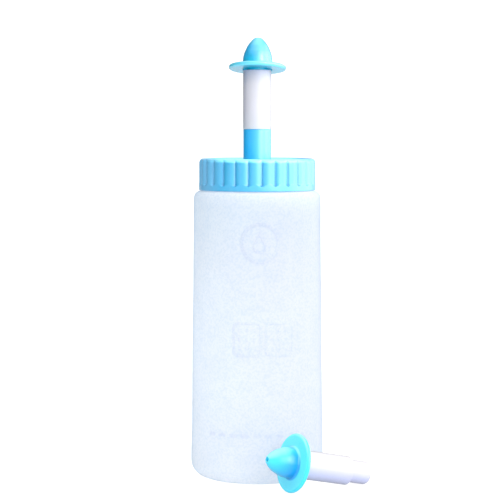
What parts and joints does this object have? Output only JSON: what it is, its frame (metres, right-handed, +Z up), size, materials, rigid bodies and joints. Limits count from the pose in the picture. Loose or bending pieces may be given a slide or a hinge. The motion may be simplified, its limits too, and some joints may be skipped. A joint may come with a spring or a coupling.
{
  "type": "squeeze irrigation bottle",
  "caption": "Translucent squeeze bottle with ribbed screw cap, dip tube with check ball, push-in nozzle with a brimmed bullet tip, and a loose spare nozzle.",
  "frame": {"origin": "centre of the bottle's base, on the plane it stands on", "axes": "+Z up along the bottle's axis, -Y towards the front where the spare nozzle lies, +X to the right seen from the front"},
  "size_m": [0.097, 0.0985, 0.239],
  "materials": {
    "bottle": "frosted translucent low-density polyethylene, slightly blue",
    "cap": "sky-blue moulded polypropylene, semi-gloss",
    "gasket": "milky silicone",
    "socket": "sky-blue moulded plastic, gloss",
    "valve_seat": "white moulded plastic",
    "valve_ball": "polished white plastic",
    "dip_tube": "natural extruded polyethylene",
    "air_valve": "milky silicone",
    "nozzle_tube": "white moulded plastic, gloss",
    "nozzle_tip": "sky-blue moulded plastic, gloss",
    "spare_tube": "white moulded plastic, gloss",
    "spare_tip": "sky-blue moulded plastic, gloss"
  },
  "bodies": {
    "bottle": {"bottle": "bottle"},
    "seal": {"cap_gasket": "gasket"},
    "cap": {"screw_cap": "cap", "nozzle_socket": "socket", "valve_seat": "valve_seat", "dip_tube": "dip_tube", "air_valve": "air_valve"},
    "check_ball": {"valve_ball": "valve_ball"},
    "nozzle": {"nozzle_tube": "nozzle_tube"},
    "tip": {"nozzle_tip": "nozzle_tip"},
    "spare_nozzle": {"spare_nozzle_tube": "spare_tube"},
    "spare_tip": {"spare_nozzle_tip": "spare_tip"}
  },
  "joints": [
    {"name": "cap_lift", "type": "slide", "parent": "bottle", "child": "seal", "axis": [0, 0, 1], "range_m": [0, 0.008]},
    {"name": "cap_turn", "type": "hinge", "parent": "seal", "child": "cap", "pos_m": [0, 0, 0.164], "axis": [0, 0, 1], "range_deg": [0, 720]},
    {"name": "valve_lift", "type": "slide", "parent": "cap", "child": "check_ball", "axis": [0, 0, 1], "range_m": [0, 0.0029]},
    {"name": "nozzle_pull", "type": "slide", "parent": "cap", "child": "nozzle", "axis": [0, 0, 1], "range_m": [0, 0.0125]},
    {"name": "tip_pull", "type": "slide", "parent": "nozzle", "child": "tip", "axis": [0, 0, 1], "range_m": [0, 0.0065]},
    {"name": "spare_lift", "type": "slide", "parent": "bottle", "child": "spare_nozzle", "axis": [0, 0, 1], "range_m": [0, 0.12]},
    {"name": "spare_tip_pull", "type": "slide", "parent": "spare_nozzle", "child": "spare_tip", "axis": [-0.8534, -0.477, 0.2101], "range_m": [0, 0.0065]}
  ],
  "couplings": [
    {"joint": "cap_lift", "follows": "cap_turn", "m_per_rad": 0.0006366}
  ]
}
